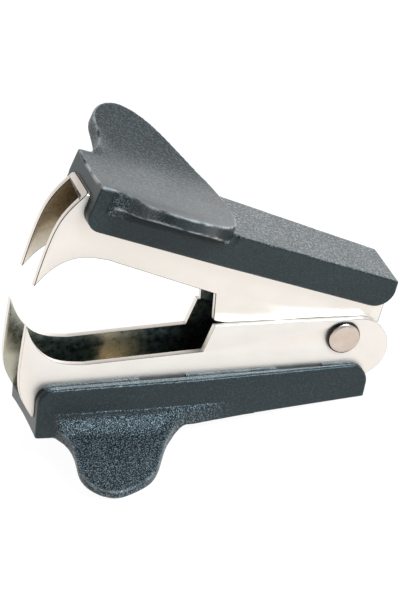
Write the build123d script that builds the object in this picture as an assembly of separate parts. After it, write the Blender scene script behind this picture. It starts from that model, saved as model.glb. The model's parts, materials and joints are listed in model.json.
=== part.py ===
from build123d import *
import math
import os

# Claw staple remover: two steel channel jaws hinged on one rivet, opened by a torsion spring,
# each with a plastic thumb grip that has two upswept ears.
#
# Each jaw and grip is drawn in its own jaw frame, in millimetres: the pivot is the origin,
# +X runs back along the jaw, Y runs across it, and +Z points into the mouth between the jaws.
# "Depth" is a distance away from the mouth, along -Z. The upper half is the same design turned over.

# Motion and stance
OPEN_ANGLE = 20.0          # between the two jaws when the spring holds them open
HEEL_LEAD = 5.0            # how far behind the pivot the open stop touches, in degrees
STOP_GAP = 0.04

# Sheet steel jaws
SHEET = 1.05
BEND_RADIUS = 0.9
LOWER_JAW_WIDTH = 9.8
UPPER_JAW_WIDTH = 7.6      # runs inside the lower jaw, 0.05 mm clear of each of its walls
LOWER_WEB_DEPTH = 9.6
UPPER_WEB_DEPTH = 10.5
FANG_REACH = 48.6          # pivot to fang tip, along the jaw
FANG_HEIGHT = 5.6
FANG_CURVE = [(47.2, 2.45), (44.3, -0.35)]      # inner edge of the fang, from the tip to its root
FANG_NOSE = [(48.9, -5.6), (49.2, -1.2)]        # front edge of the fang, from the web to the tip
FANG_ROOT = (39.5, -1.4)
WEB_FRONT = 46.8
THROAT = (21.5, -0.75)     # where the slim fang arm meets the taller hinge plate
PLATE_FRONT = (20.0, 3.3)
PLATE_REAR = (-2.4, 2.7)
PLATE_BACK = (-4.5, -6.3)
HINGE_ROUND = 7.1          # radius of the rounded back of the hinge plates
HINGE_ROUND_DROP = 1.6     # the rearmost point is this far below the pivot
WEB_REAR = 2.5
WEB_TAPER = 1.2            # the web comes this much nearer the pivot line over its length
HEEL_LENGTH = 0.5
HEEL_SWEEP = 12.0          # the heel's front edge, in degrees about the pivot
HEEL_BACK_SWEEP = 32.0

# Pivot rivet
RIVET_RADIUS = 1.75
RIVET_HEAD_RADIUS = 2.55
RIVET_HEAD_HEIGHT = 0.9
RIVET_HEAD_ROUND = 0.55
RUNNING_CLEARANCE = 0.06

# Torsion spring
WIRE = 0.8
COIL_RADIUS = 2.6
COIL_PITCH = 0.95
COIL_TURNS = 4
LEG_REACH = 15.0
LEG_GAP = 0.02

# Plastic grips: half-widths are given at the wall edge (rim) and at the outer face
GRIP_COVER = 2.1           # plastic over the jaw's web, at the front
GRIP_CORNER = 2.4
TAIL_CORNER = 3.0
TAIL_BULGE = 0.3           # the tail's upright end leans this far past its outer face
SHOULDER = 23.2            # where the dished front ends and the tapered tail begins
SHOULDER_CURVE = 1.6       # the dish's rear edge bows back this much at the middle
REAR_WALL_DEPTH = 7.3      # the grip's back wall starts clear of the rounded hinge plates
UPPER_GRIP = {
    "jaw_width": UPPER_JAW_WIDTH, "web_depth": UPPER_WEB_DEPTH, "rim_depth": 5.95,
    "front": 46.4, "rear": 4.6, "rim_halves": (6.3, 6.2, 5.4), "face_halves": (6.3, 7.5, 5.5),
    "tail_depths": (11.6, 10.8),
}
LOWER_GRIP = {
    "jaw_width": LOWER_JAW_WIDTH, "web_depth": LOWER_WEB_DEPTH, "rim_depth": 4.25,
    "front": 46.7, "rear": 4.0, "rim_halves": (6.8, 6.9, 6.2), "face_halves": (6.7, 7.8, 6.1),
    "tail_depths": (11.0, 9.7),
}

# Ears
EAR_FLAT_HALF = 5.5
EAR_SLOPE_START = 7.0
EAR_SLOPE = 0.34           # rise per millimetre of width, past the flat
EAR_TIP_HALF = 19.3
EAR_STOCK = 2.0            # the section is drawn this far past the tip, then trimmed to the plan
EAR_REST_REACH = 36.4      # where the lower ears touch the table
EAR_RIM = 1.3
COVE_HEIGHT = 3.5
COVE_RADIUS = 2.3
COVE_TURN = 66.0
EAR_OUTLINE = [(42.8, 8.7), (42.2, 12.4), (42.2, 15.8), (38.3, 19.3),
               (34.0, 18.1), (31.0, 15.5), (28.0, 11.8)]
EAR_REAR_HALF = 7.2
EAR_FRONT = 44.4
PAST = 100.0               # length of cutting blocks, past every part


def forward(reach, height):
    """A point of the side view, from its distance in front of the pivot."""
    return (-reach, height)


def side_plate(edges, width):
    """The closed side view, extruded evenly across the mid-plane."""
    face = Plane.XZ * make_face(Curve() + edges)
    return extrude(face, amount=width / 2, both=True)


def cross_rod(radius, length):
    return Rot(90, 0, 0) * Cylinder(radius, length)


def jaw_outline(web_depth, heel):
    """Side view of one jaw: fang, slim arm, hinge plate, rounded back, web."""
    tip = forward(FANG_REACH, FANG_HEIGHT)
    root = forward(*FANG_ROOT)
    throat = forward(*THROAT)
    plate_front = forward(*PLATE_FRONT)
    plate_rear = forward(*PLATE_REAR)
    back = forward(*PLATE_BACK)
    web_rear = forward(-WEB_REAR, WEB_TAPER - web_depth)
    web_front = forward(WEB_FRONT, -web_depth)
    web_end = forward(-WEB_REAR, -REAR_WALL_DEPTH)
    fang_inside = Spline(tip, *[forward(*point) for point in FANG_CURVE], root,
                         tangents=[(0.35, -1), (1, 0.02)])
    fang_front = Spline(web_front, *[forward(*point) for point in FANG_NOSE], tip)
    if heel:
        rear = [Line(plate_rear, heel[0]), Line(heel[0], heel[1]), Line(heel[1], heel[2]),
                Line(heel[2], back)]
    else:
        rear = [ThreePointArc(plate_rear, forward(-HINGE_ROUND, -HINGE_ROUND_DROP), back)]
    return [fang_inside, Line(root, throat), Line(throat, plate_front), Line(plate_front, plate_rear),
            *rear, Line(back, web_end), Line(web_end, web_rear), Line(web_rear, web_front), fang_front]


def polar(radius, angle):
    """A side-view point at an angle measured back from straight into the mouth."""
    return (radius * math.sin(math.radians(angle)), radius * math.cos(math.radians(angle)))


def open_stop():
    """Corners of the heel that meets the lower web when the jaws are fully open."""
    floor = LOWER_WEB_DEPTH - SHEET - WEB_TAPER - STOP_GAP
    touch = floor / math.cos(math.radians(HEEL_LEAD))
    angle = OPEN_ANGLE + HEEL_LEAD
    return [polar(touch - HEEL_LENGTH, angle - HEEL_SWEEP), polar(touch, angle),
            polar(HINGE_ROUND, angle + HEEL_BACK_SWEEP)]


def above_web(depth, width):
    """A block on the mouth side of the tapering web plane, for hollowing out a channel."""
    taper = math.degrees(math.atan2(WEB_TAPER, WEB_FRONT + WEB_REAR))
    block = Box(2 * PAST, width, PAST, align=(Align.CENTER, Align.CENTER, Align.MIN))
    return Pos(-WEB_FRONT, 0, -depth) * Rot(0, -taper, 0) * block


def channel_jaw(width, web_depth, hole_radius, heel):
    plate = side_plate(jaw_outline(web_depth, heel), width)
    web = plate.faces().sort_by(Axis.Z)[0]
    bends = web.edges().filter_by(lambda edge: edge.length > width)
    plate = fillet(bends, BEND_RADIUS)
    plate -= above_web(web_depth - SHEET, width - 2 * SHEET)
    return plate - cross_rod(hole_radius, 2 * width)


def pivot_rivet():
    shank = cross_rod(RIVET_RADIUS, LOWER_JAW_WIDTH)
    head = Cylinder(RIVET_HEAD_RADIUS, RIVET_HEAD_HEIGHT)
    head = fillet(head.edges().group_by(Axis.Z)[-1], RIVET_HEAD_ROUND)
    offset = LOWER_JAW_WIDTH / 2 + RIVET_HEAD_HEIGHT / 2
    return shank + Pos(0, -offset, 0) * Rot(90, 0, 0) * head + Pos(0, offset, 0) * Rot(-90, 0, 0) * head


def rod_between(start, finish):
    start, finish = Vector(start), Vector(finish)
    wire = Cylinder(WIRE / 2, (finish - start).length, align=(Align.CENTER, Align.CENTER, Align.MIN))
    return Plane(start, z_dir=finish - start) * wire


def leg_layout(web_depth):
    """A leg's far end on the web, and the angle past straight forward where it leaves the coil."""
    taper = WEB_TAPER * (WEB_FRONT - LEG_REACH) / (WEB_FRONT + WEB_REAR)
    end = (LEG_REACH, web_depth - taper - SHEET - WIRE / 2 - LEG_GAP)
    droop = math.degrees(math.atan2(end[1], end[0]))
    return end, droop + math.degrees(math.acos(COIL_RADIUS / math.hypot(*end)))


def torsion_spring():
    """One wire: a leg along the lower web, the coil, and a leg along the upper web."""
    lower_end, lower_angle = leg_layout(LOWER_WEB_DEPTH)
    upper_end, upper_angle = leg_layout(UPPER_WEB_DEPTH)
    turned = 360 * (COIL_TURNS + 1) - lower_angle - upper_angle - OPEN_ANGLE
    height = COIL_PITCH * turned / 360
    path = Helix(pitch=COIL_PITCH, height=height, radius=COIL_RADIUS)
    path = Rot(0, 180 - lower_angle, 0) * Pos(0, height / 2, 0) * Rot(90, 0, 0) * path
    coil = sweep(Plane(path @ 0, z_dir=path % 0) * Circle(WIRE / 2), path=path, is_frenet=True)
    opened = math.radians(OPEN_ANGLE)
    upper_x = upper_end[1] * math.sin(opened) - upper_end[0] * math.cos(opened)
    upper_z = upper_end[1] * math.cos(opened) + upper_end[0] * math.sin(opened)
    lower_far = (-lower_end[0], (path @ 0).Y, -lower_end[1])
    upper_far = (upper_x, (path @ 1).Y, upper_z)
    for near, far in ((path @ 0, lower_far), (path @ 1, upper_far)):
        coil += Pos(*near) * Sphere(WIRE / 2) + rod_between(near, far)
    return coil


def grip_outline(grip, depth):
    """Side view of a grip's body: wall edge, rounded front corner, outer face, tail and rear."""
    rim, front, rear = grip["rim_depth"], grip["front"], grip["rear"]
    front_rim = forward(front - GRIP_CORNER, -rim)
    front_low = forward(front, -rim - GRIP_CORNER)
    bend = (1 - math.sqrt(0.5)) * GRIP_CORNER
    front_bottom = forward(front, -depth)
    shoulder_dish = forward(SHOULDER + SHOULDER_CURVE, -depth)
    shoulder_tail = forward(SHOULDER, -grip["tail_depths"][0])
    rear_bottom = forward(-rear + TAIL_BULGE, -grip["tail_depths"][1])
    rear_side = forward(-rear, -rim - TAIL_CORNER)
    rear_bend = (1 - math.sqrt(0.5)) * TAIL_CORNER
    rear_rim = forward(-rear + TAIL_CORNER, -rim)
    return [ThreePointArc(front_rim, forward(front - bend, -rim - bend), front_low),
            Line(front_low, front_bottom), Line(front_bottom, shoulder_dish),
            Line(shoulder_dish, shoulder_tail), Line(shoulder_tail, rear_bottom),
            Line(rear_bottom, rear_side),
            ThreePointArc(rear_side, forward(-rear + rear_bend, -rim - rear_bend), rear_rim),
            Line(rear_rim, front_rim)]


def body_plan(grip, halves, height):
    """Plan of the grip's body at one height, through half-widths at front, shoulder and rear."""
    reaches = (grip["front"] + 0.01, SHOULDER, -grip["rear"] - 0.01)
    right = [(-reach, half) for reach, half in zip(reaches, halves)]
    left = [(x, -y) for x, y in reversed(right)]
    return Pos(0, 0, height) * make_face(Polyline(*right, *left, close=True))


def grip_body(grip, depth):
    """Side walls lofted from the wall edge to the wider outer face, cut to the side view."""
    rim_plan = body_plan(grip, grip["rim_halves"], -grip["rim_depth"])
    face_plan = body_plan(grip, grip["face_halves"], -depth)
    return side_plate(grip_outline(grip, depth), PAST) & loft([rim_plan, face_plan], ruled=True)


def ear_plan(front_half):
    """Plan of both ears: from the front notch, round the tip, to the bowed rear edge of the dish."""
    notch = (-EAR_FRONT, front_half)
    rear = (-SHOULDER - SHOULDER_CURVE, EAR_REAR_HALF)
    outline = [(-reach, half) for reach, half in EAR_OUTLINE]
    rim = Spline(notch, *outline, rear)
    bow = ThreePointArc(rear, (-SHOULDER, 0), (rear[0], -rear[1]))
    edges = [rim, bow, mirror(rim, about=Plane.XZ), Line((notch[0], -notch[1]), notch)]
    return extrude(make_face(Curve() + edges), amount=-PAST)


def ear_section(depth, wall_half):
    """Cross-section of the ears: flat middle, upswept outer face, coved and tapered inner face."""
    slope_angle = math.atan(EAR_SLOPE)
    flat_end = (EAR_FLAT_HALF, -depth)
    slope_begin = (2 * EAR_SLOPE_START - EAR_FLAT_HALF,
                   -depth - EAR_SLOPE * (EAR_SLOPE_START - EAR_FLAT_HALF))
    edge_half = EAR_TIP_HALF + EAR_STOCK
    edge = (edge_half, -depth - EAR_SLOPE * (edge_half - EAR_SLOPE_START))
    rim_top = (edge[0], edge[1] + EAR_RIM / math.cos(slope_angle))
    turn = math.radians(COVE_TURN)
    cove_top = (wall_half, -depth + COVE_HEIGHT)
    cove_end = (wall_half + COVE_RADIUS * (1 - math.cos(turn)), cove_top[1] - COVE_RADIUS * math.sin(turn))
    half_turn = turn / 2
    cove_mid = (wall_half + COVE_RADIUS * (1 - math.cos(half_turn)),
                cove_top[1] - COVE_RADIUS * math.sin(half_turn))
    bend = TangentArc(flat_end, slope_begin, tangent=(1, 0))
    edges = [Line((0, -depth), flat_end), bend, Line(slope_begin, edge), Line(edge, rim_top),
             Line(rim_top, cove_end), ThreePointArc(cove_end, cove_mid, cove_top),
             Line(cove_top, (0, cove_top[1])), Line((0, cove_top[1]), (0, -depth))]
    face = Plane.YZ * make_face(Curve() + edges)
    half = extrude(face, amount=-PAST)
    return half + mirror(half, about=Plane.XZ)


def thumb_grip(grip):
    depth = grip["web_depth"] + GRIP_COVER
    ears = ear_section(depth, grip["face_halves"][0]) & ear_plan(grip["face_halves"][0])
    behind_web = Box(PAST, grip["jaw_width"], PAST, align=(Align.MIN, Align.CENTER, Align.MAX))
    trough = above_web(grip["web_depth"], grip["jaw_width"])
    trough -= Pos(WEB_REAR, 0, -REAR_WALL_DEPTH) * behind_web
    return grip_body(grip, depth) + ears - trough


def upper_half(shape):
    """Turn a jaw-frame shape over and open it, about the pivot."""
    return Rot(0, OPEN_ANGLE, 0) * Rot(180, 0, 0) * shape


def stance_angle():
    """Nose-up angle at which the lower ears and the tail's end touch one flat surface."""
    depth = LOWER_WEB_DEPTH + GRIP_COVER
    ear_depth = depth + EAR_SLOPE * (EAR_TIP_HALF - EAR_SLOPE_START)
    tail_depth = LOWER_GRIP["tail_depths"][1]
    return math.degrees(math.atan2(ear_depth - tail_depth, EAR_REST_REACH + LOWER_GRIP["rear"]))


def build():
    parts = {
        "lower_jaw": channel_jaw(LOWER_JAW_WIDTH, LOWER_WEB_DEPTH, RIVET_RADIUS, None),
        "upper_jaw": upper_half(channel_jaw(UPPER_JAW_WIDTH, UPPER_WEB_DEPTH,
                                            RIVET_RADIUS + RUNNING_CLEARANCE, open_stop())),
        "pivot_rivet": pivot_rivet(),
        "torsion_spring": torsion_spring(),
        "lower_grip": thumb_grip(LOWER_GRIP),
        "upper_grip": upper_half(thumb_grip(UPPER_GRIP)),
    }
    stance = Rot(0, stance_angle(), 0)
    parts = {name: stance * shape for name, shape in parts.items()}
    box = Compound(children=[Compound(shape.solids()) for shape in parts.values()]).bounding_box()
    pivot = Vector(-(box.min.X + box.max.X) / 2, 0, -box.min.Z)
    shift = Pos(pivot)
    print(f"stance {stance_angle():.5f} degrees, pivot at x {pivot.X:.4f} z {pivot.Z:.4f}")
    return {name: shift * shape for name, shape in parts.items()}


os.makedirs("parts", exist_ok=True)
for node, shape in build().items():
    export_step(shape, f"parts/{node}.step")
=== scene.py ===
import bmesh
import bpy
import json
import math
import numpy as np
from mathutils import Matrix, Vector


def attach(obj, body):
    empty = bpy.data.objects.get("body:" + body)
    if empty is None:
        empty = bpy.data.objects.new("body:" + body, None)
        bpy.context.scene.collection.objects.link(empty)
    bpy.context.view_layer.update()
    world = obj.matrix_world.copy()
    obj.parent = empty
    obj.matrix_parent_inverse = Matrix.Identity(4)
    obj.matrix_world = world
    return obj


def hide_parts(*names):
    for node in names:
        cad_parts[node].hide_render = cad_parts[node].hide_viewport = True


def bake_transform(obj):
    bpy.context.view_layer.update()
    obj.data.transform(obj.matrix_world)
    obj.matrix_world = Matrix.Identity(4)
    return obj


# Claw staple remover: looks for the two steel jaws, the rivet, the spring and the two plastic grips.
#
# Shapes are drawn in millimetres in a jaw frame, as (reach in front of the pivot, sideways,
# depth away from the mouth), and then turned into the row frame.

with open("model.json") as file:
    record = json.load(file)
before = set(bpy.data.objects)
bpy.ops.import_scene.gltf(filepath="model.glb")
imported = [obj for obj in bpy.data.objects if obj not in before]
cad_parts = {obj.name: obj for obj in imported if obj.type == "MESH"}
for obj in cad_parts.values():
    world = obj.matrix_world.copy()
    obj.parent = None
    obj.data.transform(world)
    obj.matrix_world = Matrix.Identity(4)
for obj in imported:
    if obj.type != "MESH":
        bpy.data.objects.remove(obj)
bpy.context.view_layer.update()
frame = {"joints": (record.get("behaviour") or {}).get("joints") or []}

MM = 0.001

# Stance and motion
OPEN_ANGLE = 20.0
EAR_REST_REACH = 36.4

# Sheet steel jaws, all outlines as (reach, depth)
SHEET = 1.05
BEND_RADIUS = 0.9
BEND_STEPS = 8
FANG_TIP = (48.6, -5.6)
FANG_CURVE = [(47.2, -2.45), (44.3, 0.35)]
FANG_NOSE = [(48.85, 5.6), (49.15, 1.2)]
FANG_ROOT = (39.5, 1.4)
THROAT = (21.5, 0.75)
PLATE_FRONT = (20.0, -3.3)
PLATE_REAR = (-2.4, -2.7)
PLATE_BACK = (-4.5, 6.3)
HINGE_BACK = (-7.1, 1.6)   # rearmost point of the lower jaw's rounded hinge plates
WEB_FRONT = 46.8
WEB_REAR = 2.5
WEB_TAPER = 1.2
HEEL = [(12.4, 7.16), (25.0, 7.34), (57.0, 7.1)]   # angle behind straight into the mouth, and radius
STRAIGHT_RUN = (3, 40)     # lengths that count as a straight run along the outline
END_HELD = 0.3             # shading is held flat up to this far from a straight run's ends
EDGE_BREAK = 0.2           # how far the sheet's cut edges are rounded over
EDGE_ANGLE = 35            # edges that bend by more degrees than this are broken
EDGE_SLOT = 2              # material slot of the broken edges, which paints shade along them
NEAR = 0.01                # two lengths are taken as equal within this
CUTTER_REACHES = (-60, 90)   # the block that hollows the channel runs well past both ends
CUTTER_TOP = -60
HOLE_HALF = 30             # the rivet hole's cutter reaches this far to each side
HOLE_SIDES = 64
INSIDE_MARGIN = 0.02       # a face this near the sheet's inner surface still belongs to the inside
MOUTH_SIDE = 5             # inside faces of the web lie deeper than this

# Painted shade and rubbed stretches on the sheet's inside, in row coordinates
RUBBED = [(-40, -28, -22.5, 0.42), (-15.5, -13.5, -6.5, 1.0)]   # ends and middle along X, and how much
RUBBED_EDGE = 1.5          # how far the stretches' edges wander along X
RUBBED_ABOVE = (20, 24)    # the upper jaw is rubbed all over
PALER_ABOVE = (20, 25)     # heights between which the bare metal turns paler
BROWN_ABOVE = (27, 34)     # and brown, near the upper web

# Pivot rivet
RIVET_RADIUS = 1.75
RIVET_HEAD_RADIUS = 2.55
RIVET_HEAD_HEIGHT = 0.9
CROWN_SHARE = 0.80         # the domed crown takes this share of the head's radius
CROWN_RISE = 0.16
CROWN_SPREAD = 0.9         # share of a quarter turn that the dome's fall follows
HEAD_SKIRT = 0.12          # straight side under the head's rounded edge
HEAD_DRAFT = 0.04
RIVET_SIDES = 72
PROFILE_STEPS = 9

# Torsion spring
WIRE = 0.8
COIL_RADIUS = 2.6
COIL_PITCH = 0.95
COIL_TURNS = 4
LEG_REACH = 15.0
LEG_GAP = 0.02             # between a leg and its web
LEG_STEPS = 12
COIL_STEP_DEGREES = 8

# Plastic grips
GRIP_COVER = 2.1
GRIP_CORNER = 2.4
TAIL_CORNER = 3.0
SHOULDER = 23.2
SHOULDER_CURVE = 1.6
REAR_WALL_DEPTH = 7.3
FLARE_PAST = 0.2           # the walls' flare carries on by this share past the rim and the outer face
SEAT = 0.15                # the plastic reaches this far into the sheet, so no gap shows round it
EAR_SLOPE_START = 7.0
EAR_SLOPE = 0.34
EAR_BLEND = 4.0
EAR_TIP_HALF = 19.3
EAR_FRONT_OUTLINE = [(44.4, 6.3), (42.8, 8.7), (42.2, 12.4), (42.2, 15.8), (38.3, 19.24)]
EAR_REAR_HALF = 7.2
EAR_THINS = (8.0, 17.0)    # half-widths between which the ears grow thinner
LIP_REACH = 43.6           # a soft lip across the upper dish's front corners
LIP_WIDTH = 1.6
LIP_RISES = (5.5, 8.5)     # half-widths between which it rises
LIP_FALLS = (10.0, 14.0)   # and falls again
RIM_ROUND = 0.25
WALL_ROUND = 0.35
SEAM = 0.12                # rounding where two plastic surfaces meet in an inner corner
COVE = 2.2                 # radius under the ears, where they join the wall
COVE_TOP = 3.5             # the cove's upper edge is this far from the outer face
COVE_LEDGE = 0.12          # and stands this proud of the wall
UNDER_DISH = 2.6           # the tail's flat carries on this far below the dish's rear edge
PAST_FACE = 20.0           # depth and reach that lie well outside the grip
PAST_FRONT = 60.0
TAIL_BULGE = 0.3
NOTCH = 0.6                # radius of the relief at each rear corner of the dish
NOTCH_REACH = 24.1
NOTCH_DEPTH = 1.6
RUN_OUT_RADIUS = 1.0       # how the lower ears run back into the walls
RUN_OUT_FLARE = 0.4
RUN_OUT_PLATE = 0.15
RUN_OUT = (13.5, 26.0)     # reaches between which the run-out fades away
RUN_OUT_UNDER = (24.0, 28.5)   # reaches between which the underside drops to the dish
RUN_OUT_FRONT = 33.0       # the run-out stays behind this reach
LINER_SHARE = 0.46         # the liner takes this share of the wall's thickness, next to the steel
LINER_DROP = 1.5           # how deep the rebate for the liner is
LINER_END = 0.6
LINER_GAP = 0.15
LINER_CORNER = [(0.2, 0.0), (0.06, 0.06), (0.0, 0.2)]   # its rounded outer corner, as (in, down)
LINER_EXPOSED = 0.4        # how deep its grained edge reaches
SLOTS = [(24.0, 31.0), (3.0, 10.0)]   # reaches where the liner is sunk
SLOT_DROP = 1.3
SLOT_STEP = 0.05
GRID = 0.25                # spacing of the lattice that the grips are meshed on
GRID_MARGIN = 0.6
GRID_HALF = 20.1
GRID_PAST_FACE = 4.9
PLAN_TABLE = ((-8, -1), (50, 22))   # corners of the tabled plan and side view
SIDE_TABLE = ((-8, 0), (50, 20))

# Moulded grain and rubbed rims on the plastic, both with painted light too: lighter grain crests as
# painted glints, lighter rims as a painted highlight
FACES_OUT = (0.6, 0.95)    # outward lean between which a surface counts as an outer face
TAIL_GRAIN = 0.8
DISH_GRAIN = 0.26
UNDER_EAR_GRAIN = 0.9
RIM_GRAIN = 0.35
RIM_GRAIN_FADES = (0.15, 0.4)   # depths behind the wall's edge
UNDER_EAR_LEAN = 0.1       # surfaces that lean outwards by more than this are not under an ear
WALL_GRAIN = 0.1
LINER_GRAIN = 0.5
FRONT_GRAIN = ((41.0, 42.5), (0.12, 1.0))   # under the upper ears it fades towards the smooth front corner
RIM_WEAR_AND_HIGHLIGHT = (0.12, 0.36)    # distances from the plan's outline between which the rim's rubbed look and painted highlight fade
FACE_WEAR_AND_HIGHLIGHT = (0.2, 0.4)     # from the outer face
BACK_WEAR_AND_HIGHLIGHT = (0.1, 0.32)    # and from the ears' backs
# The liner's exposed edge is painted lighter, partly rubbed and partly a painted highlight.
LINER_WEAR_AND_HIGHLIGHT = 0.2

# Each grip's wear_and_highlight sets how light its rims are painted: partly rubbed, partly a painted
# highlight.
UPPER = {"name": "upper", "turned_over": True, "jaw_width": 7.6, "web_depth": 10.5, "rim_depth": 5.95,
         "front": 46.4, "rear": 4.6, "rim_halves": (6.3, 6.2, 5.4), "face_halves": (6.3, 7.5, 5.5),
         "tail_depths": (11.6, 10.8), "lip": 0.35, "wear_and_highlight": 1.0, "run_out": False, "ear_thick": (2.7, 2.0),
         "ear_rear": [(34.0, 18.1), (31.0, 15.5), (28.0, 11.8)]}
LOWER = {"name": "lower", "turned_over": False, "jaw_width": 9.8, "web_depth": 9.6, "rim_depth": 4.25,
         "front": 46.7, "rear": 4.0, "rim_halves": (6.8, 6.9, 6.2), "face_halves": (6.7, 7.8, 6.1),
         "tail_depths": (11.0, 9.7), "lip": 0.0, "wear_and_highlight": 0.35, "run_out": True, "ear_thick": (1.6, 1.2),
         "ear_rear": [(34.4, 18.4), (32.0, 17.1), (30.0, 14.5), (28.1, 11.0)]}

# How the studio's brightness fades along two axes: from one direction to another, and both brightnesses
STUDIO_FADES = [("Y", (-0.6, 0.1, 0.25, 1.0)), ("Z", (-0.05, 0.35, 1.4, 0.62))]

# Camera, in degrees, millimetres and metres
CAMERA_AZIMUTH = 14.764
CAMERA_ELEVATION = 29.82
CAMERA_ROLL = -4.6075
CAMERA_TARGET = (1.239, 3.657, 16.234)
CAMERA_DISTANCE = 0.7
CAMERA_LENS = 285.12

pivot = Vector(frame["joints"][0]["pos_m"]) / MM
ear_depth = LOWER["web_depth"] + GRIP_COVER + EAR_SLOPE * (EAR_TIP_HALF - EAR_SLOPE_START)
STANCE = math.atan2(ear_depth - LOWER["tail_depths"][1], EAR_REST_REACH + LOWER["rear"])


# ---------------------------------------------------------------- frames and meshes

def to_row(half):
    """Matrix from (reach, sideways, depth) in millimetres to the row frame in metres."""
    angle = STANCE
    flip = Matrix.Identity(4)
    if half["turned_over"]:
        angle += math.radians(OPEN_ANGLE)
        flip = Matrix.Rotation(math.pi, 4, "X")
    axes = Matrix(((-1, 0, 0, 0), (0, 1, 0, 0), (0, 0, -1, 0), (0, 0, 0, 1)))
    turn = Matrix.Rotation(angle, 4, "Y")
    return Matrix.Scale(MM, 4) @ Matrix.Translation(pivot) @ turn @ flip @ axes


def new_object(name, points, faces, matrix, smooth=True):
    """A mesh object in the row frame from points and faces in a half's own frame."""
    mesh = bpy.data.meshes.new(name)
    mesh.from_pydata([tuple(p) for p in points], [], [tuple(f) for f in faces])
    mesh.transform(matrix)
    if matrix.determinant() < 0:
        mesh.flip_normals()
    mesh.update()
    mesh.polygons.foreach_set("use_smooth", [smooth] * len(mesh.polygons))
    obj = bpy.data.objects.new(name, mesh)
    bpy.context.scene.collection.objects.link(obj)
    return obj


def ring_faces(rings, around):
    """Quads between neighbouring rings of points, each ring closed on itself."""
    faces = []
    for row in range(rings - 1):
        for k in range(around):
            a, b = row * around + k, row * around + (k + 1) % around
            faces.append((a, b, b + around, a + around))
    return faces


def fix_normals(obj):
    """Merge doubled points and turn every face outwards."""
    mesh = bmesh.new()
    mesh.from_mesh(obj.data)
    bmesh.ops.remove_doubles(mesh, verts=mesh.verts, dist=1e-7)
    bmesh.ops.recalc_face_normals(mesh, faces=mesh.faces)
    mesh.to_mesh(obj.data)
    mesh.free()


def keep_sharp(obj, degrees):
    """Shade the edges that bend by more than this as sharp."""
    obj.data.set_sharp_from_angle(angle=math.radians(degrees))


def smooth_curve(points, steps=12):
    """Points along a natural cubic spline through the given ones."""
    points = np.array(points, float)
    count = len(points)
    along = np.concatenate([[0], np.cumsum(np.linalg.norm(np.diff(points, axis=0), axis=1))])
    system = np.eye(count)
    wanted = np.zeros_like(points)
    for i in range(1, count - 1):
        before, after = along[i] - along[i - 1], along[i + 1] - along[i]
        system[i, i - 1:i + 2] = before / 6, (before + after) / 3, after / 6
        wanted[i] = (points[i + 1] - points[i]) / after - (points[i] - points[i - 1]) / before
    bend = np.linalg.solve(system, wanted)
    t = np.linspace(0, along[-1], steps * (count - 1) + 1)
    k = np.clip(np.searchsorted(along, t, side="right") - 1, 0, count - 2)
    span = (along[k + 1] - along[k])[:, None]
    a = (along[k + 1] - t)[:, None] / span
    b = 1 - a
    bent = ((a ** 3 - a) * bend[k] + (b ** 3 - b) * bend[k + 1]) * span ** 2 / 6
    return a * points[k] + b * points[k + 1] + bent


def arc_through(start, middle, end, steps=16):
    """Points along the circular arc through three points."""
    p, q, r = (np.array(v, float) for v in (start, middle, end))
    rows = np.array([q - p, r - p])
    centre = np.linalg.solve(2 * rows, [(q @ q - p @ p), (r @ r - p @ p)])
    radius = np.linalg.norm(p - centre)
    first, mid, last = (math.atan2(*(v - centre)[::-1]) for v in (p, q, r))
    sweep = (last - first) % math.tau
    if (mid - first) % math.tau > sweep:
        sweep -= math.tau
    angles = first + np.linspace(0, sweep, steps + 1)
    return centre + radius * np.column_stack([np.cos(angles), np.sin(angles)])


# ---------------------------------------------------------------- distances, for the grips

def smoothstep(value, low, high):
    """Rises from 0 at low to 1 at high, level at both ends."""
    t = np.clip((value - low) / (high - low), 0, 1)
    return t * t * (3 - 2 * t)


def overlap(a, b, radius):
    """Distance to what two shapes share, its outer edge rounded."""
    return np.minimum(np.maximum(a, b), -radius) + np.hypot(np.maximum(a + radius, 0),
                                                            np.maximum(b + radius, 0))


def join(a, b, radius):
    """Distance to two shapes together, the inner corner between them filled to a radius."""
    return np.maximum(np.minimum(a, b), radius) - np.hypot(np.maximum(radius - a, 0),
                                                           np.maximum(radius - b, 0))


def outline_distance(outline, across, down):
    """Distance to a closed outline in its plane, negative inside."""
    nearest = np.full(across.shape, 1e9)
    inside = np.zeros(across.shape, bool)
    for (ax, ay), (bx, by) in zip(outline, np.roll(outline, -1, axis=0)):
        ex, ey = bx - ax, by - ay
        length = ex * ex + ey * ey
        if length < 1e-12:
            continue
        px, py = across - ax, down - ay
        t = np.clip((px * ex + py * ey) / length, 0, 1)
        nearest = np.minimum(nearest, (px - t * ex) ** 2 + (py - t * ey) ** 2)
        crosses = (ay > down) != (by > down)
        if by != ay:
            inside ^= crosses & (across < ax + (down - ay) * ex / ey)
    return np.where(inside, -1, 1) * np.sqrt(nearest)


class Field:
    """A plane distance, tabled on a fine lattice and read back between its points."""

    def __init__(self, outline, low, high, spacing=0.1):
        self.low, self.spacing = np.array(low, float), spacing
        axes = [np.arange(a, b + spacing, spacing) for a, b in zip(low, high)]
        across, down = np.meshgrid(*axes, indexing="ij")
        self.values = outline_distance(np.array(outline), across, down)

    def __call__(self, across, down):
        u = (across - self.low[0]) / self.spacing
        v = (down - self.low[1]) / self.spacing
        i = np.clip(u.astype(int), 0, self.values.shape[0] - 2)
        j = np.clip(v.astype(int), 0, self.values.shape[1] - 2)
        s, t = u - i, v - j
        table = self.values
        return ((table[i, j] * (1 - s) + table[i + 1, j] * s) * (1 - t)
                + (table[i, j + 1] * (1 - s) + table[i + 1, j + 1] * s) * t)


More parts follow.
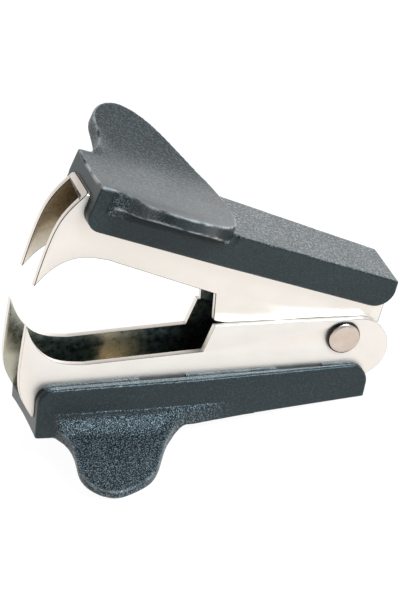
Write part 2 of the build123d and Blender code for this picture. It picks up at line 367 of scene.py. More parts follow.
def surface_nets(distance, low, high, spacing):
    """Points and quads of the surface where distance is zero, each point at the mean of its cell's
    crossings.
    """
    axes = [np.arange(a, b + spacing, spacing) for a, b in zip(low, high)]
    value = distance(*np.meshgrid(*axes, indexing="ij"))
    inside = value < 0
    cells = tuple(n - 1 for n in value.shape)
    total = np.zeros(cells + (3,))
    count = np.zeros(cells)
    corners = [(i, j, k) for i in (0, 1) for j in (0, 1) for k in (0, 1)]
    for corner in corners:
        for axis in range(3):
            if corner[axis]:
                continue
            other = tuple(c + (axis == n) for n, c in enumerate(corner))
            a = value[tuple(slice(c, c + n) for c, n in zip(corner, cells))]
            b = value[tuple(slice(c, c + n) for c, n in zip(other, cells))]
            cut = (a < 0) != (b < 0)
            share = np.where(cut, a / np.where(cut, a - b, 1), 0)
            for n in range(3):
                total[..., n] += np.where(cut, corner[n] + (share if n == axis else 0), 0)
            count += cut
    used = count > 0
    index = np.full(cells, -1)
    index[used] = np.arange(used.sum())
    points = np.argwhere(used) + total[used] / count[used][:, None]
    points = points * spacing + np.array(low)
    quads = []
    for axis in range(3):
        first = [slice(0, n) for n in inside.shape]
        second = list(first)
        first[axis] = slice(0, inside.shape[axis] - 1)
        second[axis] = slice(1, inside.shape[axis])
        a, b = inside[tuple(first)], inside[tuple(second)]
        spots = np.argwhere(a != b)
        one, two = (axis + 1) % 3, (axis + 2) % 3
        steps = []
        for shift_one, shift_two in ((0, 0), (1, 0), (1, 1), (0, 1)):
            cell = spots.copy()
            cell[:, one] -= shift_one
            cell[:, two] -= shift_two
            steps.append(index[tuple(cell.T)])
        quad = np.column_stack(steps)
        solid_first = a[tuple(spots.T)]
        quad[~solid_first] = quad[~solid_first][:, ::-1]
        quads.append(quad)
    return points, np.concatenate(quads)


def gradient(distance, points, step=0.04):
    """Slope of a distance along each axis, at each point."""
    slopes = []
    for axis in range(3):
        shift = np.zeros(3)
        shift[axis] = step
        slopes.append(distance(*(points + shift).T) - distance(*(points - shift).T))
    return np.column_stack(slopes) / (2 * step)


def settle(distance, points, rounds=3):
    """Move points on to the surface along the distance's gradient."""
    for _ in range(rounds):
        slope = gradient(distance, points)
        steep = np.maximum((slope ** 2).sum(1), 0.25)
        move = (distance(*points.T) / steep)[:, None] * slope
        points = points - np.clip(move, -GRID / 2, GRID / 2)
    return points


# ---------------------------------------------------------------- the grips

def ear_outline(sizes):
    """Plan of both ears and the dish between them, with its bowed rear edge."""
    rear = (SHOULDER + SHOULDER_CURVE, EAR_REAR_HALF)
    side = smooth_curve([*EAR_FRONT_OUTLINE, *sizes["ear_rear"], rear])
    bow = arc_through(rear, (SHOULDER, 0), (rear[0], -rear[1]))
    front_half = EAR_FRONT_OUTLINE[0][1]
    past_front = [(PAST_FRONT, -front_half), (PAST_FRONT, front_half)]
    return np.concatenate([side, bow[1:-1], side[::-1] * (1, -1), past_front])


def rim_corners(sizes):
    """Side view of the wall edge's rounded corners, the front one and the rear one."""
    rim, front, rear = sizes["rim_depth"], sizes["front"], sizes["rear"]
    bend = 1 - math.sqrt(0.5)
    front_mid = (front - bend * GRIP_CORNER, rim + bend * GRIP_CORNER)
    rear_mid = (-rear + bend * TAIL_CORNER, rim + bend * TAIL_CORNER)
    front_arc = arc_through((front - GRIP_CORNER, rim), front_mid, (front, rim + GRIP_CORNER))
    rear_arc = arc_through((-rear, rim + TAIL_CORNER), rear_mid, (-rear + TAIL_CORNER, rim))
    return front_arc, rear_arc


def body_outline(sizes):
    """Side view of the grip's body, left open past the dish, which is cut to shape later."""
    front_arc, rear_arc = rim_corners(sizes)
    tail_front, tail_rear = sizes["tail_depths"]
    fall = (tail_front - tail_rear) / (SHOULDER + sizes["rear"])
    under_dish = SHOULDER + UNDER_DISH
    return np.array([*front_arc, (sizes["front"], PAST_FACE), (under_dish, PAST_FACE),
                     (under_dish, tail_front + fall * UNDER_DISH),
                     (-sizes["rear"] + TAIL_BULGE, tail_rear), *rear_arc])


def liner_half(sizes):
    """Where the gap between the liner and the outer wall is centred."""
    inner = sizes["jaw_width"] / 2
    return inner + LINER_SHARE * (min(sizes["rim_halves"]) - inner)


class Grip:
    """One grip's surface, as a distance in its own frame."""

    def __init__(self, sizes):
        self.sizes = sizes
        self.depth = sizes["web_depth"] + GRIP_COVER
        self.plan = Field(ear_outline(sizes), *PLAN_TABLE)
        self.side = Field(body_outline(sizes), *SIDE_TABLE)

    def face_depth(self, reach, half):
        """Depth of the outer face, which sweeps away from the mouth towards the ear tips."""
        past = half - EAR_SLOPE_START
        sunk = math.hypot(EAR_SLOPE_START, EAR_BLEND) - EAR_SLOPE_START
        sweep = EAR_SLOPE * 0.5 * (past + np.sqrt(past ** 2 + EAR_BLEND ** 2) - sunk)
        across = smoothstep(half, *LIP_RISES) * (1 - smoothstep(half, *LIP_FALLS))
        along = np.exp(-((reach - LIP_REACH) / LIP_WIDTH) ** 2)
        return self.depth + sweep + self.sizes["lip"] * across * along

    def tail_depth(self, reach):
        """Depth of the tail's flat behind the dish."""
        stations = (-self.sizes["rear"], SHOULDER)
        return np.interp(reach, stations, self.sizes["tail_depths"][::-1])

    def half_width(self, reach, deep):
        """Half-width of the side walls, which flare from the rim to the outer face."""
        sizes = self.sizes
        stations = (-sizes["rear"], SHOULDER, sizes["front"])
        rim = np.interp(reach, stations, sizes["rim_halves"][::-1])
        face = np.interp(reach, stations, sizes["face_halves"][::-1])
        share = (deep - sizes["rim_depth"]) / (self.depth - sizes["rim_depth"])
        return rim + (face - rim) * np.clip(share, -FLARE_PAST, 1 + FLARE_PAST)

    def trough(self, reach, half, deep):
        """The channel that the jaw sits in."""
        sizes = self.sizes
        taper = WEB_TAPER / (WEB_FRONT + WEB_REAR)
        floor = sizes["web_depth"] - (WEB_FRONT - reach) * taper - SEAT
        behind = reach < -WEB_REAR + SEAT
        floor = np.where(behind, np.minimum(floor, REAR_WALL_DEPTH - SEAT), floor)
        return np.maximum(half - sizes["jaw_width"] / 2 + SEAT, deep - floor)

    def rebate(self, reach, half, deep):
        """The step along the wall's edge that the liner lies in."""
        edge = -self.side(reach, deep) - LINER_DROP
        return np.maximum(np.maximum(half - liner_half(self.sizes) - LINER_GAP / 2, edge),
                          deep - self.sizes["web_depth"] + LINER_END)

    def __call__(self, reach, sideways, deep):
        sizes = self.sizes
        half = np.abs(sideways)
        face = self.face_depth(reach, half)
        past = half - EAR_SLOPE_START
        slope = EAR_SLOPE * 0.5 * (1 + past / np.sqrt(past ** 2 + EAR_BLEND ** 2))
        level = 1 / np.sqrt(1 + slope ** 2)
        thick = np.interp(half, EAR_THINS, sizes["ear_thick"])
        wall = half - self.half_width(reach, deep)
        plan = np.maximum(self.plan(reach, half), reach - sizes["front"])
        base, plate, ledge = face, thick, COVE_LEDGE
        if sizes["run_out"]:
            run = smoothstep(reach, *RUN_OUT)
            tail = self.tail_depth(reach)
            full = smoothstep(reach, *RUN_OUT_UNDER)
            base = tail + (face - tail) * full
            plate = thick * (RUN_OUT_PLATE + (1 - RUN_OUT_PLATE) * run)
            ledge = COVE_LEDGE * run
            flare = np.maximum(wall - RUN_OUT_FLARE * run, RUN_OUT[0] - reach)
            plan = np.where(reach < RUN_OUT_FRONT, join(plan, flare, RUN_OUT_RADIUS), plan)
        coved = join((base - plate - deep) * level, wall - ledge, COVE)
        coved = overlap(coved, self.depth - COVE_TOP - deep, SEAM)
        if sizes["run_out"]:
            # Where the underside has dropped in full, the outer face's own rounding trims it instead.
            coved = np.maximum(coved, deep - base - full)
        ears = overlap(plan, coved, RIM_ROUND)
        body = overlap(self.side(reach, deep), wall, WALL_ROUND)
        whole = join(ears, body, SEAM)
        whole = overlap(whole, (deep - face) * level, RIM_ROUND)
        if not sizes["run_out"]:
            corner_half = self.half_width(NOTCH_REACH, self.depth)
            notch = np.hypot(reach - NOTCH_REACH, half - corner_half) - NOTCH
            notch = np.maximum(notch, sizes["tail_depths"][0] - NOTCH_DEPTH - deep)
            whole = overlap(whole, -notch, RIM_ROUND)
        whole = overlap(whole, -self.rebate(reach, half, deep), SEAM)
        return np.maximum(whole, -self.trough(reach, half, deep))


def build_grip(sizes):
    """One grip's shell, meshed from its distance, with shading normals from the same slopes."""
    grip = Grip(sizes)
    low = (-sizes["rear"] - GRID_MARGIN, -GRID_HALF, sizes["rim_depth"] - GRID_MARGIN)
    high = (sizes["front"] + GRID_MARGIN, GRID_HALF, grip.depth + GRID_PAST_FACE)
    points, quads = surface_nets(grip, low, high, GRID)
    points = settle(grip, points)
    obj = new_object(sizes["name"] + "_grip_shell", points, quads, to_row(sizes))
    slopes = gradient(grip, points)
    slopes /= np.maximum(np.linalg.norm(slopes, axis=1), 1e-9)[:, None]
    turn = np.array(to_row(sizes).to_3x3()) / MM
    obj.data.normals_split_custom_set_from_vertices(slopes @ turn.T)
    mark(obj, "grain_and_glint", grain_and_glint_strength(grip, points, slopes))
    mark(obj, "open_grain", smoothstep(slopes[:, 2], *FACES_OUT))
    mark(obj, "wear_and_edge_highlight", edge_wear_and_highlight(grip, points))
    return obj


def mark(obj, name, values):
    """Store a number for each of the mesh's points, for its material to read."""
    attribute = obj.data.attributes.new(name, "FLOAT", "POINT")
    attribute.data.foreach_set("value", np.asarray(values, np.float32))


def edge_wear_and_highlight(grip, points):
    """How much the surface is rubbed and painted with a highlight: along the rims of the ears and the
    dish's edge, none elsewhere.
    """
    reach, half, deep = points[:, 0], np.abs(points[:, 1]), points[:, 2]
    plan = np.abs(np.maximum(grip.plan(reach, half), reach - grip.sizes["front"]))
    face = grip.face_depth(reach, half) - deep
    thick = np.interp(half, EAR_THINS, grip.sizes["ear_thick"])
    along_rim = 1 - smoothstep(plan, *RIM_WEAR_AND_HIGHLIGHT)
    on_face = 1 - smoothstep(np.abs(face), *FACE_WEAR_AND_HIGHLIGHT)
    on_back = (1 - smoothstep(np.abs(face - thick), *BACK_WEAR_AND_HIGHLIGHT)) * (half > EAR_REAR_HALF)
    return grip.sizes["wear_and_highlight"] * along_rim * np.maximum(on_face, on_back)


def grain_and_glint_strength(grip, points, slopes):
    """How strong the moulded grain and its painted glints are: strong on the tail and under the ears,
    faint on the rest.
    """
    reach, half, deep = points[:, 0], np.abs(points[:, 1]), points[:, 2]
    outward = slopes[:, 2]
    clear_of_wall = half - grip.half_width(reach, deep)
    on_ears = grip.plan(reach, half) < RIM_ROUND
    tail = TAIL_GRAIN * smoothstep(outward, *FACES_OUT) * ~on_ears
    dish = DISH_GRAIN * smoothstep(outward, *FACES_OUT) * on_ears
    running_out = (reach > RUN_OUT[0]) & (clear_of_wall > 0.02) & grip.sizes["run_out"]
    under = (on_ears | running_out) & (outward < UNDER_EAR_LEAN)
    under_ears = UNDER_EAR_GRAIN * smoothstep(clear_of_wall - 0.5 * outward, 0.0, 0.5) * under
    if grip.sizes["lip"]:
        under_ears *= np.interp(reach, *FRONT_GRAIN)
    on_rim = RIM_GRAIN * (1 - smoothstep(deep - grip.sizes["rim_depth"], *RIM_GRAIN_FADES))
    walls = np.full(len(reach), WALL_GRAIN)
    return np.maximum.reduce([tail, dish, under_ears, on_rim, walls])


def liner_path(sizes):
    """Side view along the wall's edge, front to rear, sunk at the slots."""
    front_arc, rear_arc = rim_corners(sizes)
    bottom = sizes["web_depth"] - LINER_END
    path = [(sizes["front"], bottom), *front_arc[::-1]]
    for rear_end, front_end in SLOTS:
        for reach, sunk in ((front_end + SLOT_STEP, 0), (front_end, SLOT_DROP),
                            (rear_end, SLOT_DROP), (rear_end - SLOT_STEP, 0)):
            path.append((reach, sizes["rim_depth"] + sunk))
    return np.array([*path, *rear_arc[::-1], (-sizes["rear"], bottom)])


def build_liner(sizes, side):
    """The inner lip beside the steel on one wall, sunk at the slots."""
    inner = sizes["jaw_width"] / 2 - SEAT
    outer = liner_half(sizes) - LINER_GAP / 2
    path = liner_path(sizes)
    along = np.gradient(path, axis=0)
    along /= np.linalg.norm(along, axis=1)[:, None]
    flat = np.abs(path[:, 1] - sizes["rim_depth"]) < SLOT_DROP + NEAR
    along[flat] = (-1, 0)
    corner = [(outer - inwards, -down) for inwards, down in LINER_CORNER]
    section = [(inner, -LINER_DROP), (inner, 0), *corner, (outer, -LINER_DROP)]
    points = []
    for (reach, deep), (run, fall) in zip(path, along):
        for half, height in section:
            points.append((reach - fall * height, side * half, deep + run * height))
    ring = len(section)
    faces = ring_faces(len(path), ring)
    faces.append(tuple(range(ring)))
    faces.append(tuple(reversed(range(len(points) - ring, len(points)))))
    name = sizes["name"] + "_grip_liner_" + ("far" if side > 0 else "near")
    obj = new_object(name, points, faces, to_row(sizes))
    fix_normals(obj)
    keep_sharp(obj, 35)
    back = to_row(sizes).inverted()
    depths = np.array([(back @ vertex.co).z for vertex in obj.data.vertices])
    exposed = depths < sizes["rim_depth"] + LINER_EXPOSED
    mark(obj, "grain_and_glint", LINER_GRAIN * exposed)
    mark(obj, "open_grain", np.zeros(len(depths)))
    mark(obj, "wear_and_edge_highlight", LINER_WEAR_AND_HIGHLIGHT * exposed)
    return obj


# ---------------------------------------------------------------- steel jaws

def jaw_outline(half):
    """Side view of one jaw: fang, slim arm, hinge plate, rounded back, web."""
    depth = half["web_depth"]
    fang = smooth_curve([FANG_TIP, *FANG_CURVE, FANG_ROOT], 10)
    nose = smooth_curve([(WEB_FRONT, depth), *FANG_NOSE, FANG_TIP], 10)
    if half["turned_over"]:
        back = [(-radius * math.sin(math.radians(angle)), -radius * math.cos(math.radians(angle)))
                for angle, radius in HEEL]
        back = [PLATE_REAR, *back, PLATE_BACK]
    else:
        back = arc_through(PLATE_REAR, HINGE_BACK, PLATE_BACK, 40)
    web_end = (-WEB_REAR, REAR_WALL_DEPTH)
    return [*fang, THROAT, PLATE_FRONT, *back, web_end, (-WEB_REAR, depth - WEB_TAPER), *nose[:-1]]


def hold_ends(outline):
    """Extra points near the ends of the straight runs, so that shading bends only at the corners."""
    held = []
    for start, end in zip(outline, [*outline[1:], outline[0]]):
        length = math.dist(start, end)
        held.append(start)
        if STRAIGHT_RUN[0] < length < STRAIGHT_RUN[1]:
            for share in (END_HELD / length, 1 - END_HELD / length):
                held.append(tuple(a + (b - a) * share for a, b in zip(start, end)))
    return held


def prism(name, outline, half_width):
    """A flat-sided block from an outline, left in the jaw frame and in millimetres."""
    count = len(outline)
    points = [(u, side * half_width, d) for side in (-1, 1) for u, d in outline]
    faces = [tuple(range(count)), tuple(reversed(range(count, 2 * count)))]
    faces += [(i, i + count, (i + 1) % count + count, (i + 1) % count) for i in range(count)]
    obj = new_object(name, points, faces, Matrix.Identity(4), smooth=False)
    fix_normals(obj)
    return obj


def cut_away(obj, cutter):
    """Cut one object out of another and remove the cutter."""
    change = obj.modifiers.new("cut", "BOOLEAN")
    change.operation = "DIFFERENCE"
    change.solver = "EXACT"
    change.object = cutter
    bake_modifiers(obj)
    bpy.data.objects.remove(cutter)


def bake_modifiers(obj):
    """Replace the object's mesh with the result of its modifiers."""
    graph = bpy.context.evaluated_depsgraph_get()
    mesh = bpy.data.meshes.new_from_object(obj.evaluated_get(graph), depsgraph=graph)
    obj.modifiers.clear()
    obj.data = mesh


def build_jaw(half, materials):
    """A bent sheet channel: the outline's full block, its web edges bent, then hollowed and drilled.

    The materials are for the outside, the inside and the broken edges; the inside's and the edges'
    materials carry painted shade.
    """
    width = half["jaw_width"] / 2
    outline = hold_ends(jaw_outline(half))
    obj = prism(half["name"] + "_jaw_sheet", outline, width)
    mesh = bmesh.new()
    mesh.from_mesh(obj.data)
    depth = half["web_depth"]
    bends = [edge for edge in mesh.edges
             if abs(edge.verts[0].co.y - edge.verts[1].co.y) < NEAR
             and {round(v.co.x, 2) for v in edge.verts} == {-WEB_REAR, WEB_FRONT}
             and max(v.co.z for v in edge.verts) > depth - NEAR]
    bmesh.ops.bevel(mesh, geom=bends, offset=BEND_RADIUS, segments=BEND_STEPS, profile=0.5, affect="EDGES")
    mesh.to_mesh(obj.data)
    mesh.free()
    taper = WEB_TAPER / (WEB_FRONT + WEB_REAR)
    rear, front = CUTTER_REACHES
    inner = [(rear, CUTTER_TOP), (front, CUTTER_TOP), (front, depth - SHEET + (front - WEB_FRONT) * taper),
             (rear, depth - SHEET - (WEB_FRONT - rear) * taper)]
    cut_away(obj, prism("inner", inner, width - SHEET))
    hole = [(RIVET_RADIUS * math.cos(a), RIVET_RADIUS * math.sin(a))
            for a in np.linspace(0, math.tau, HOLE_SIDES, endpoint=False)]
    cut_away(obj, prism("hole", hole, HOLE_HALF))
    for material in materials:
        obj.data.materials.append(material)
    # The broken edges get the edge material, which paints a thin dark line of shade along each cut edge.
    edge = obj.modifiers.new("edge", "BEVEL")
    edge.limit_method = "ANGLE"
    edge.angle_limit = math.radians(EDGE_ANGLE)
    edge.width = EDGE_BREAK
    edge.segments = 2
    edge.material = EDGE_SLOT
    bake_modifiers(obj)
    inside = width - SHEET + INSIDE_MARGIN
    # Faces on the sheet's inside get the inside material, with its painted shade.
    for face in obj.data.polygons:
        on_plate = face.normal.y * face.center.y < -0.5
        on_web = face.normal.z < -0.9 and face.center.z > MOUTH_SIDE
        if face.material_index == 0:
            face.material_index = int((on_plate or on_web) and abs(face.center.y) < inside)
    obj.data.transform(to_row(half))
    sheet_sides = [abs(face.normal.y) > 0.99 for face in obj.data.polygons]
    obj.data.polygons.foreach_set("use_smooth", [not side for side in sheet_sides])
    keep_sharp(obj, 30)
    return obj


# ---------------------------------------------------------------- rivet and spring

def build_rivet():
    """One domed head on each side, turned from a profile, with a plain shank between."""
    side = LOWER["jaw_width"] / 2
    radius, height = RIVET_HEAD_RADIUS, RIVET_HEAD_HEIGHT
    turns = np.linspace(0, math.pi / 2, PROFILE_STEPS)
    crown = [(radius * CROWN_SHARE * math.sin(a),
              side + height - CROWN_RISE * (1 - math.cos(a * CROWN_SPREAD))) for a in turns]
    top_radius, top = crown[-1]
    fall = top - side - HEAD_SKIRT
    edge = [(top_radius + (radius - top_radius) * math.sin(a), top - fall * (1 - math.cos(a)))
            for a in turns[1:]]
    profile = [*crown, *edge, (radius - HEAD_DRAFT, side), (RIVET_RADIUS, side)]
    profile += [(r, -s) for r, s in reversed(profile)]
    points = []
    for radius_here, y in profile:
        for k in range(RIVET_SIDES):
            angle = math.tau * k / RIVET_SIDES
            points.append((radius_here * math.cos(angle), y, radius_here * math.sin(angle)))
    obj = new_object("rivet_turned", points, ring_faces(len(profile), RIVET_SIDES), to_row(LOWER))
    fix_normals(obj)
    keep_sharp(obj, 40)
    # The heads' steep sides get the second material, a dark ring of painted shade round each head.
    for face in obj.data.polygons:
        face.material_index = int(abs(face.normal.y) < 0.8)
    return obj


def spring_leg(web_depth):
    """Far end of a leg lying on its web, and the angle where it leaves the coil."""
    taper = WEB_TAPER * (WEB_FRONT - LEG_REACH) / (WEB_FRONT + WEB_REAR)
    end = (LEG_REACH, web_depth - taper - SHEET - WIRE / 2 - LEG_GAP)
    towards_end = math.degrees(math.atan2(end[1], end[0]))
    return end, towards_end + math.degrees(math.acos(COIL_RADIUS / math.hypot(*end)))


def build_spring():
    """Round wire along one leg, the coil's turns, and the other leg."""
    lower_end, lower_angle = spring_leg(LOWER["web_depth"])
    upper_end, upper_angle = spring_leg(UPPER["web_depth"])
    turned = 360 * (COIL_TURNS + 1) - lower_angle - upper_angle - OPEN_ANGLE
    height = COIL_PITCH * turned / 360
    coil = []
    for share in np.linspace(0, 1, int(turned / COIL_STEP_DEGREES)):
        angle = math.radians(lower_angle + turned * share)
        coil.append((COIL_RADIUS * math.cos(angle), height * (share - 0.5), COIL_RADIUS * math.sin(angle)))
    opened = math.radians(OPEN_ANGLE)
    upper_reach = upper_end[0] * math.cos(opened) - upper_end[1] * math.sin(opened)
    upper_depth = -upper_end[1] * math.cos(opened) - upper_end[0] * math.sin(opened)
    first = (lower_end[0], coil[0][1], lower_end[1])
    last = (upper_reach, coil[-1][1], upper_depth)
    coil = np.array(coil)
    lower_leg = np.linspace(first, coil[0], LEG_STEPS)
    upper_leg = np.linspace(coil[-1], last, LEG_STEPS)
    line = np.concatenate([lower_leg[:-1], coil, upper_leg[1:]])
    return tube("spring_wire_coil", line, WIRE / 2, to_row(LOWER))


def tube(name, line, radius, matrix, around=14):
    """A round bar along a line, closed at both ends."""
    tangents = np.gradient(line, axis=0)
    tangents /= np.linalg.norm(tangents, axis=1)[:, None]
    across = np.array([0.0, 1.0, 0.0])
    points = []
    for centre, tangent in zip(line, tangents):
        across = across - tangent * (across @ tangent)
        across /= np.linalg.norm(across)
        up = np.cross(tangent, across)
        for k in range(around):
            angle = math.tau * k / around
            points.append(centre + radius * (math.cos(angle) * across + math.sin(angle) * up))
    faces = ring_faces(len(line), around)
    faces.append(tuple(reversed(range(around))))
    faces.append(tuple(range(len(points) - around, len(points))))
    obj = new_object(name, points, faces, matrix)
    fix_normals(obj)
    keep_sharp(obj, 40)
    return obj


# ---------------------------------------------------------------- materials

class Nodes:
    """A new material's node tree, with short ways to add and join nodes."""

    def __init__(self, name):
        self.material = bpy.data.materials.new(name)
        self.material.use_nodes = True
        self.tree = self.material.node_tree
        self.shader = self.tree.nodes["Principled BSDF"]
        self.place = self.add("ShaderNodeTexCoord").outputs["Object"]

    def add(self, kind, **settings):
        node = self.tree.nodes.new(kind)
        for key, value in settings.items():
            setattr(node, key, value)
        return node

    def put(self, socket, value):
        """Join a socket to another one, or set its value."""
        if isinstance(value, bpy.types.NodeSocket):
            self.tree.links.new(value, socket)
        else:
            socket.default_value = value

    def shade(self, **values):
        for key, value in values.items():
            self.put(self.shader.inputs[key.replace("_", " ")], value)

    def noise(self, scale, detail):
        node = self.add("ShaderNodeTexNoise")
        self.put(node.inputs["Vector"], self.place)
        self.put(node.inputs["Scale"], scale)
        self.put(node.inputs["Detail"], detail)
        return node.outputs["Fac"]

    def ramp(self, value, low, high, to_low=0.0, to_high=1.0):
        """From to_low where the value is low, in a straight line, to to_high where it is high."""
        node = self.add("ShaderNodeMapRange")
        for key, item in zip(("Value", "From Min", "From Max", "To Min", "To Max"),
                             (value, low, high, to_low, to_high)):
            self.put(node.inputs[key], item)
        return node.outputs["Result"]

    def math(self, operation, a, b):
        node = self.add("ShaderNodeMath", operation=operation)
        self.put(node.inputs[0], a)
        self.put(node.inputs[1], b)
        return node.outputs[0]

    def mix(self, share, a, b):
        node = self.add("ShaderNodeMix", data_type="RGBA")
        self.put(node.inputs[0], share)
        self.put(node.inputs[6], a)
        self.put(node.inputs[7], b)
        return node.outputs[2]

    def bump(self, height, distance, strength):
        node = self.add("ShaderNodeBump")
        self.put(node.inputs["Height"], height)
        self.put(node.inputs["Distance"], distance)
        self.put(node.inputs["Strength"], strength)
        return node.outputs["Normal"]


def plastic():
    """Charcoal plastic with a moulded grain, as strong as the mesh's grain_and_glint says; the grain's
    crests are painted lighter, partly scuffed plastic and partly painted glints.
    """
    m = Nodes("charcoal_plastic")
    amount = m.add("ShaderNodeAttribute", attribute_name="grain_and_glint").outputs["Fac"]
    wear_and_highlight_amount = m.add("ShaderNodeAttribute", attribute_name="wear_and_edge_highlight").outputs["Fac"]
    coarser = m.add("ShaderNodeAttribute", attribute_name="open_grain").outputs["Fac"]
    fine, coarse = m.noise(4800, 0.0), m.noise(3000, 0.0)
    grain = m.ramp(coarser, 0.0, 1.0, fine, coarse)
    cloud = m.noise(160, 3.0)
    dark = m.mix(m.ramp(cloud, 0.3, 0.7), (0.006, 0.0085, 0.0095, 1), (0.009, 0.013, 0.0145, 1))
    # The grain's crests are painted lighter: partly scuffed plastic, partly painted glints.
    glint_peaks = m.math("MULTIPLY", m.ramp(grain, 0.49, 0.64), amount)
    glint_speckled = m.mix(glint_peaks, dark, (0.12, 0.14, 0.15, 1))
    # Along the rims the colour turns light grey: partly rubbed plastic, partly a painted highlight.
    rubbed = m.math("MULTIPLY", m.ramp(m.noise(500, 2.0), 0.35, 0.6), wear_and_highlight_amount)
    dullness = m.ramp(cloud, 0.3, 0.7, 0.31, 0.37)
    m.shade(Base_Color=m.mix(rubbed, glint_speckled, (0.36, 0.36, 0.35, 1)),
            Roughness=m.math("SUBTRACT", dullness, m.math("MULTIPLY", glint_peaks, 0.1)),
            Normal=m.bump(grain, 0.00014, amount))
    m.shader.inputs["Specular IOR Level"].default_value = 0.43
    m.shader.inputs["Specular Tint"].default_value = (0.85, 1.0, 1.0, 1)
    return m.material


def steel():
    """Bright plated sheet, for the jaws' outsides and the spring."""
    m = Nodes("nickel_plated_sheet")
    cloud = m.noise(220, 3.0)
    m.shade(Base_Color=m.mix(m.ramp(cloud, 0.3, 0.7), (0.83, 0.76, 0.69, 1), (0.88, 0.81, 0.735, 1)),
            Metallic=1.0,
            Roughness=m.ramp(cloud, 0.3, 0.7, 0.38, 0.46))
    return m.material


def rivet_steel():
    """The rivet's plating, browner and smoother than the sheet's."""
    m = Nodes("nickel_plated_rivet")
    cloud = m.noise(700, 3.0)
    m.shade(Base_Color=m.mix(m.ramp(cloud, 0.3, 0.7), (0.575, 0.475, 0.395, 1), (0.665, 0.555, 0.47, 1)),
            Metallic=1.0,
            Roughness=m.ramp(cloud, 0.3, 0.7, 0.22, 0.32))
    return m.material


def edge_painted_shade():
    """Painted shade for the sheet's broken cut corners and the rivet heads' sides: a dark metal for the
    thin dark lines of shade there.
    """
    m = Nodes("edge_painted_shade")
    cloud = m.noise(900, 3.0)
    m.shade(Base_Color=m.mix(m.ramp(cloud, 0.3, 0.7), (0.02, 0.019, 0.017, 1), (0.08, 0.075, 0.068, 1)),
            Metallic=1.0,
            Roughness=m.ramp(cloud, 0.3, 0.7, 0.35, 0.5))
    return m.material


def inner_steel():
    """The sheet's inside, painted dark for the shade inside the channel and mottled like grime, with
    lighter stretches where it has been rubbed.
    """
    m = Nodes("inner_sheet_painted_shade")
    split = m.add("ShaderNodeSeparateXYZ")
    m.put(split.inputs[0], m.place)
    height = split.outputs["Z"]
    wander = m.ramp(m.noise(260, 2.0), 0.3, 0.7, -RUBBED_EDGE * MM, RUBBED_EDGE * MM)
    along = m.math("ADD", split.outputs["X"], wander)
    rubbed = m.ramp(height, RUBBED_ABOVE[0] * MM, RUBBED_ABOVE[1] * MM, 0.0, 0.95)
    for start, peak, end, amount in RUBBED:
        rise = m.ramp(along, start * MM, peak * MM, 0.0, amount)
        fall = m.ramp(along, peak * MM, end * MM, amount, 0.0)
        rubbed = m.math("MAXIMUM", m.math("MINIMUM", rise, fall), rubbed)
    grime = m.noise(1400, 2.0)
    paler = m.ramp(height, PALER_ABOVE[0] * MM, PALER_ABOVE[1] * MM)
    browner = m.ramp(height, BROWN_ABOVE[0] * MM, BROWN_ABOVE[1] * MM)
    bare = m.mix(paler, (0.95, 0.83, 0.64, 1), (0.97, 0.90, 0.79, 1))
    bare = m.mix(browner, bare, (0.36, 0.29, 0.20, 1))
    # The inside's dark greenish colour is painted shade for the channel's inside, mottled like grime.
    shade_and_grime = m.mix(m.ramp(grime, 0.35, 0.65), (0.13, 0.17, 0.155, 1), (0.21, 0.245, 0.22, 1))
    m.shade(Base_Color=m.mix(rubbed, shade_and_grime, bare),
            Metallic=1.0,
            Roughness=m.ramp(grime, 0.3, 0.7, 0.24, 0.38))
    return m.material


def floor_finish():
    """A floor that is mostly lit by itself, so that the key light leaves no bright patch on it."""
    m = Nodes("pale_floor")
    m.shade(Base_Color=(0.12, 0.12, 0.12, 1),
            Roughness=0.9,
            Emission_Color=(1, 1, 1, 1),
            Emission_Strength=0.95)
    return m.material


# ---------------------------------------------------------------- put together

def dress(obj, materials, body, node):
    """Give a visible piece its materials and its body, and hide the CAD node that it stands for."""
    for material in materials:
        obj.data.materials.append(material)
    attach(obj, body)
    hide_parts(node)


black_plastic = plastic()
bright_steel = steel()
# The inside material paints the shade inside the channel.
shaded_inner_steel = inner_steel()
dark_edge = edge_painted_shade()
for half in (LOWER, UPPER):
    name = half["name"]
    plastics = [build_grip(half), build_liner(half, -1), build_liner(half, 1)]
    for plastic_piece in plastics:
        dress(plastic_piece, [black_plastic], name + "_half", name + "_grip")
    jaw = build_jaw(half, [bright_steel, shaded_inner_steel, dark_edge])
    dress(jaw, [], name + "_half", name + "_jaw")
# The rivet's second material is the edge's painted shade, for the dark ring round each head.
dress(build_rivet(), [rivet_steel(), dark_edge], "lower_half", "pivot_rivet")

spring = build_spring()
spring.data.materials.append(bright_steel)
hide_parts("torsion_spring")
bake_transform(spring)


# ---------------------------------------------------------------- floor, light and camera

def build_floor():
    size = 3.0
    corners = [(-size, -size, 0), (size, -size, 0), (size, size, 0), (-size, size, 0)]
    mesh = bpy.data.meshes.new("floor")
    mesh.from_pydata(corners, [], [(0, 1, 2, 3)])
    floor = bpy.data.objects.new("floor", mesh)
    floor.data.materials.append(floor_finish())
    bpy.context.scene.collection.objects.link(floor)


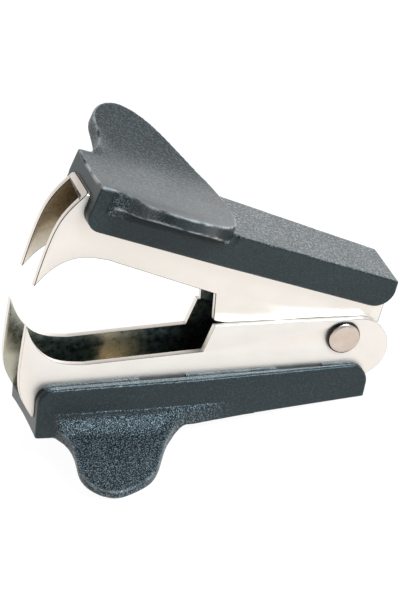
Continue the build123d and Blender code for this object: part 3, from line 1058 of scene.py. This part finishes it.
def soft_light(name, place, size, power, colour):
    """A square area light aimed at the object."""
    light = bpy.data.lights.new(name, "AREA")
    light.color = colour
    light.size = size
    light.energy = power
    obj = bpy.data.objects.new(name, light)
    obj.location = place
    obj.rotation_euler = (Vector((0, 0, 0.02)) - Vector(place)).to_track_quat("-Z", "Y").to_euler()
    bpy.context.scene.collection.objects.link(obj)


def build_camera():
    """A long lens, aimed down at the near side and rolled a little."""
    azimuth, elevation = math.radians(CAMERA_AZIMUTH), math.radians(CAMERA_ELEVATION)
    look = Vector((math.sin(azimuth) * math.cos(elevation), math.cos(azimuth) * math.cos(elevation),
                   -math.sin(elevation)))
    camera = bpy.data.objects.new("camera", bpy.data.cameras.new("camera"))
    camera.data.lens = CAMERA_LENS
    camera.data.clip_start = 0.01
    camera.rotation_mode = "QUATERNION"
    roll = Matrix.Rotation(math.radians(CAMERA_ROLL), 3, "Z").to_quaternion()
    camera.rotation_quaternion = look.to_track_quat("-Z", "Y") @ roll
    camera.location = Vector(CAMERA_TARGET) * MM - look * CAMERA_DISTANCE
    bpy.context.scene.collection.objects.link(camera)
    bpy.context.scene.camera = camera


def build_world():
    """A white studio, brightest low down behind the object and dim overhead in front."""
    world = bpy.data.worlds.new("studio")
    world.use_nodes = True
    tree = world.node_tree
    place = tree.nodes.new("ShaderNodeTexCoord")
    split = tree.nodes.new("ShaderNodeSeparateXYZ")
    tree.links.new(place.outputs["Generated"], split.inputs[0])
    strength = tree.nodes.new("ShaderNodeMath")
    strength.operation = "MULTIPLY"
    for slot, (axis, limits) in enumerate(STUDIO_FADES):
        fade = tree.nodes.new("ShaderNodeMapRange")
        for name, value in zip(("From Min", "From Max", "To Min", "To Max"), limits):
            fade.inputs[name].default_value = value
        tree.links.new(split.outputs[axis], fade.inputs["Value"])
        tree.links.new(fade.outputs["Result"], strength.inputs[slot])
    tree.links.new(strength.outputs[0], tree.nodes["Background"].inputs["Strength"])
    tree.nodes["Background"].inputs["Color"].default_value = (1, 1, 1, 1)
    bpy.context.scene.world = world


build_floor()
build_world()
bpy.context.scene.view_settings.view_transform = "Standard"
soft_light("key", place=(0.41, -0.68, 0.64), size=0.3, power=12.5, colour=(0.70, 0.86, 1.0))
soft_light("back", place=(0.7, 0.8, 0.22), size=0.6, power=1.2, colour=(1.0, 1.0, 1.0))
build_camera()
